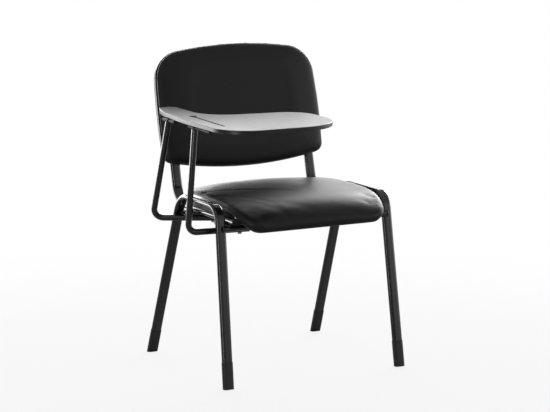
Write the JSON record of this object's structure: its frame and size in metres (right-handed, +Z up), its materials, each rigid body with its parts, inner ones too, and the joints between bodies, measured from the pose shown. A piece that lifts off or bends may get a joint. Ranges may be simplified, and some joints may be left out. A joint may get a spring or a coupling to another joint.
{
  "type": "tablet arm chair",
  "caption": "Black tubular steel side chair with an upholstered seat and back and, on the sitter's right, a folding writing tablet on two round tube arms",
  "frame": {"origin": "centre of the bottom of the bounding box of the whole chair at rest, on the floor", "axes": "+Z up, +Y towards the back of the chair, -Y the way the sitter faces, +X the sitter's left"},
  "size_m": [0.5942, 0.648, 0.82],
  "materials": {
    "frame_black": "gloss",
    "moulding_black": "satin",
    "cover_black": "satin",
    "plywood": "matte",
    "tablet_black": "satin",
    "edge_grey": "satin",
    "rubber_black": "matte",
    "hinge_black": "satin",
    "zinc_steel": "satin"
  },
  "bodies": {
    "frame": {"arm_bolts": "zinc_steel", "arm_lug_front": "frame_black", "arm_lug_rear": "frame_black", "arm_nuts": "zinc_steel", "arm_plugs": "moulding_black", "arm_spacers": "zinc_steel", "arm_tube_front": "frame_black", "arm_tube_rear": "frame_black", "back_board": "plywood", "back_cushion": "cover_black", "back_screws": "zinc_steel", "back_shell": "moulding_black", "back_upright_left": "frame_black", "back_upright_right": "frame_black", "bearer_plug_left": "moulding_black", "bearer_plug_right": "moulding_black", "crossbar_front": "frame_black", "crossbar_rear": "frame_black", "foot_cap_front_left": "moulding_black", "foot_cap_front_right": "moulding_black", "foot_cap_rear_left": "moulding_black", "foot_cap_rear_right": "moulding_black", "hinge_pin_front": "hinge_black", "hinge_pin_rear": "hinge_black", "hinge_sleeve_front": "frame_black", "hinge_sleeve_rear": "frame_black", "rest_buffers": "rubber_black", "seat_board": "plywood", "seat_cushion": "cover_black", "seat_pan": "moulding_black", "seat_screws": "zinc_steel", "seat_tee_nuts": "zinc_steel", "side_frame_left": "frame_black", "side_frame_right": "frame_black", "tablet_rest": "frame_black"},
    "tablet": {"tablet_board": "tablet_black", "tablet_edge_band": "edge_grey", "hinge_leaf_front": "hinge_black", "hinge_leaf_rear": "hinge_black", "leaf_screws": "hinge_black"}
  },
  "joints": [
    {"name": "tablet_fold", "type": "hinge", "parent": "frame", "child": "tablet", "pos_m": [-0.28815, -0.07299, 0.6624], "axis": [0, -1, 0], "range_deg": [0, 100]}
  ]
}
